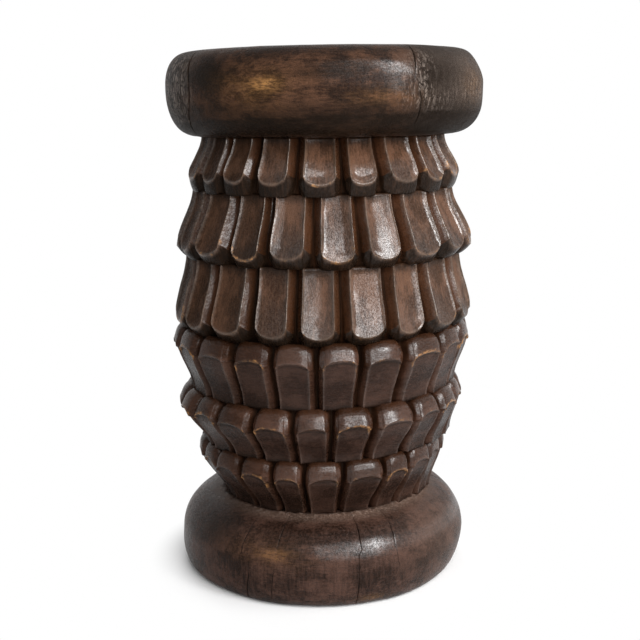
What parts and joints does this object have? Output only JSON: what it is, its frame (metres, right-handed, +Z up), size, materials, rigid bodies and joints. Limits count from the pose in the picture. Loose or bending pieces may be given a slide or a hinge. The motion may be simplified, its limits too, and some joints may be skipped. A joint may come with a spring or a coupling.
{
  "type": "carved wooden stool",
  "caption": "Round drum stool of dark carved wood: a cushion-shaped seat and foot joined by a barrel of tiered overlapping leaves.",
  "frame": {"origin": "centre of the foot's flat underside, on the floor", "axes": "+Z up along the stool's axis, -Y towards the pictured front"},
  "size_m": [0.27, 0.27, 0.45],
  "materials": {
    "seat_wood": "dark brown stained and waxed wood with worn spots, satin",
    "hanging_leaf_wood": "dark brown stained and waxed carved wood, glossy, worn to amber on its edges",
    "standing_leaf_wood": "dark plum-brown stained and waxed carved wood, satin, worn to amber on its edges",
    "foot_wood": "dark brown stained and waxed wood with drying cracks, satin"
  },
  "bodies": {
    "root": {"seat": "seat_wood", "leaf_ring_1": "hanging_leaf_wood", "leaf_ring_2": "hanging_leaf_wood", "leaf_ring_3": "hanging_leaf_wood", "leaf_ring_4": "standing_leaf_wood", "leaf_ring_5": "standing_leaf_wood", "leaf_ring_6": "standing_leaf_wood", "foot": "foot_wood"}
  },
  "joints": []
}
